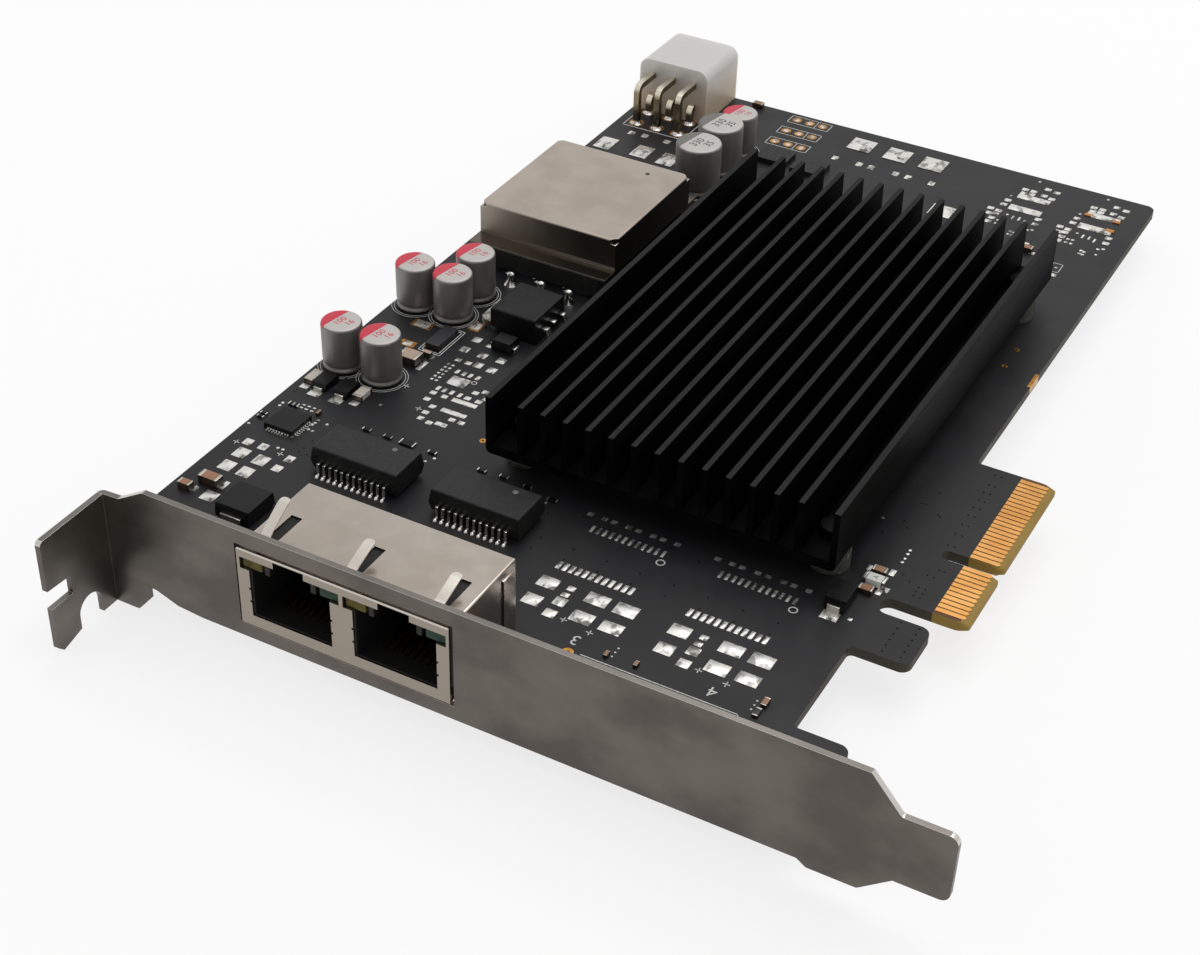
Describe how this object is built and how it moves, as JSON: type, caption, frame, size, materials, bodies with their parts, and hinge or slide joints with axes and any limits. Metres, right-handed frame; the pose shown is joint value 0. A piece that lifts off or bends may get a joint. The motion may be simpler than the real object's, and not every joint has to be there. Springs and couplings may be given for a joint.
{
  "type": "network interface card",
  "caption": "Full-height expansion card with a steel bracket, a shielded two-port jack, a black finned heatsink, an edge connector and a supply stage with its own power header.",
  "frame": {"origin": "outer corner of the bracket at its tab bend, level with the component side of the board", "axes": "+X along the bracket from its tab to its tongue, +Y from the bracket to the rear of the board, +Z out of the component side"},
  "size_m": [0.1235, 0.1815, 0.0228],
  "materials": {
    "board": "matt",
    "gold": "satin",
    "nickel": "satin",
    "screw": "satin",
    "shield": "satin",
    "jack_plastic": "matt",
    "light_yellow": "clear",
    "light_green": "clear",
    "tin": "satin",
    "heatsink": "black anodised",
    "nylon": "translucent",
    "substrate": "matt",
    "lid": "satin",
    "thermal_pad": "matt",
    "epoxy": "matt",
    "bobbin": "matt",
    "ferrite": "matt",
    "small_can": "satin",
    "large_can": "satin",
    "header_nylon": "translucent",
    "ceramic": "matt",
    "white_chip": "gloss"
  },
  "bodies": {
    "root": {"circuit_board": "board", "edge_contacts": "gold", "bracket": "nickel", "bracket_screws": "screw", "jack_shield": "shield", "jack_housing": "jack_plastic", "jack_lights_yellow": "light_yellow", "jack_lights_green": "light_green", "jack_wires": "gold", "jack_pin_tails": "tin", "heatsink": "heatsink", "heatsink_push_pins": "nylon", "heatsink_spacers": "nylon", "controller_substrate": "substrate", "controller_lid": "lid", "controller_pad": "thermal_pad", "line_transformer_bodies": "epoxy", "line_transformer_leads": "tin", "supply_transformer_shield": "shield", "supply_transformer_bobbin": "bobbin", "supply_transformer_core": "ferrite", "supply_transformer_pins": "tin", "small_capacitor_cans": "small_can", "large_capacitor_cans": "large_can", "capacitor_lead_tails": "tin", "supply_transformer_tails": "tin", "driver_chips": "epoxy", "power_header_housing": "header_nylon", "power_header_pins": "tin", "switch_body": "epoxy", "switch_tab": "tin", "switch_leads": "tin", "diode_bodies": "epoxy", "diode_terminals": "tin", "ceramic_capacitors": "ceramic", "ceramic_capacitor_ends": "tin", "chip_resistors": "epoxy", "chip_resistor_ends": "tin", "indicator_chip": "white_chip", "indicator_chip_ends": "tin", "supply_controller": "epoxy"}
  },
  "joints": []
}
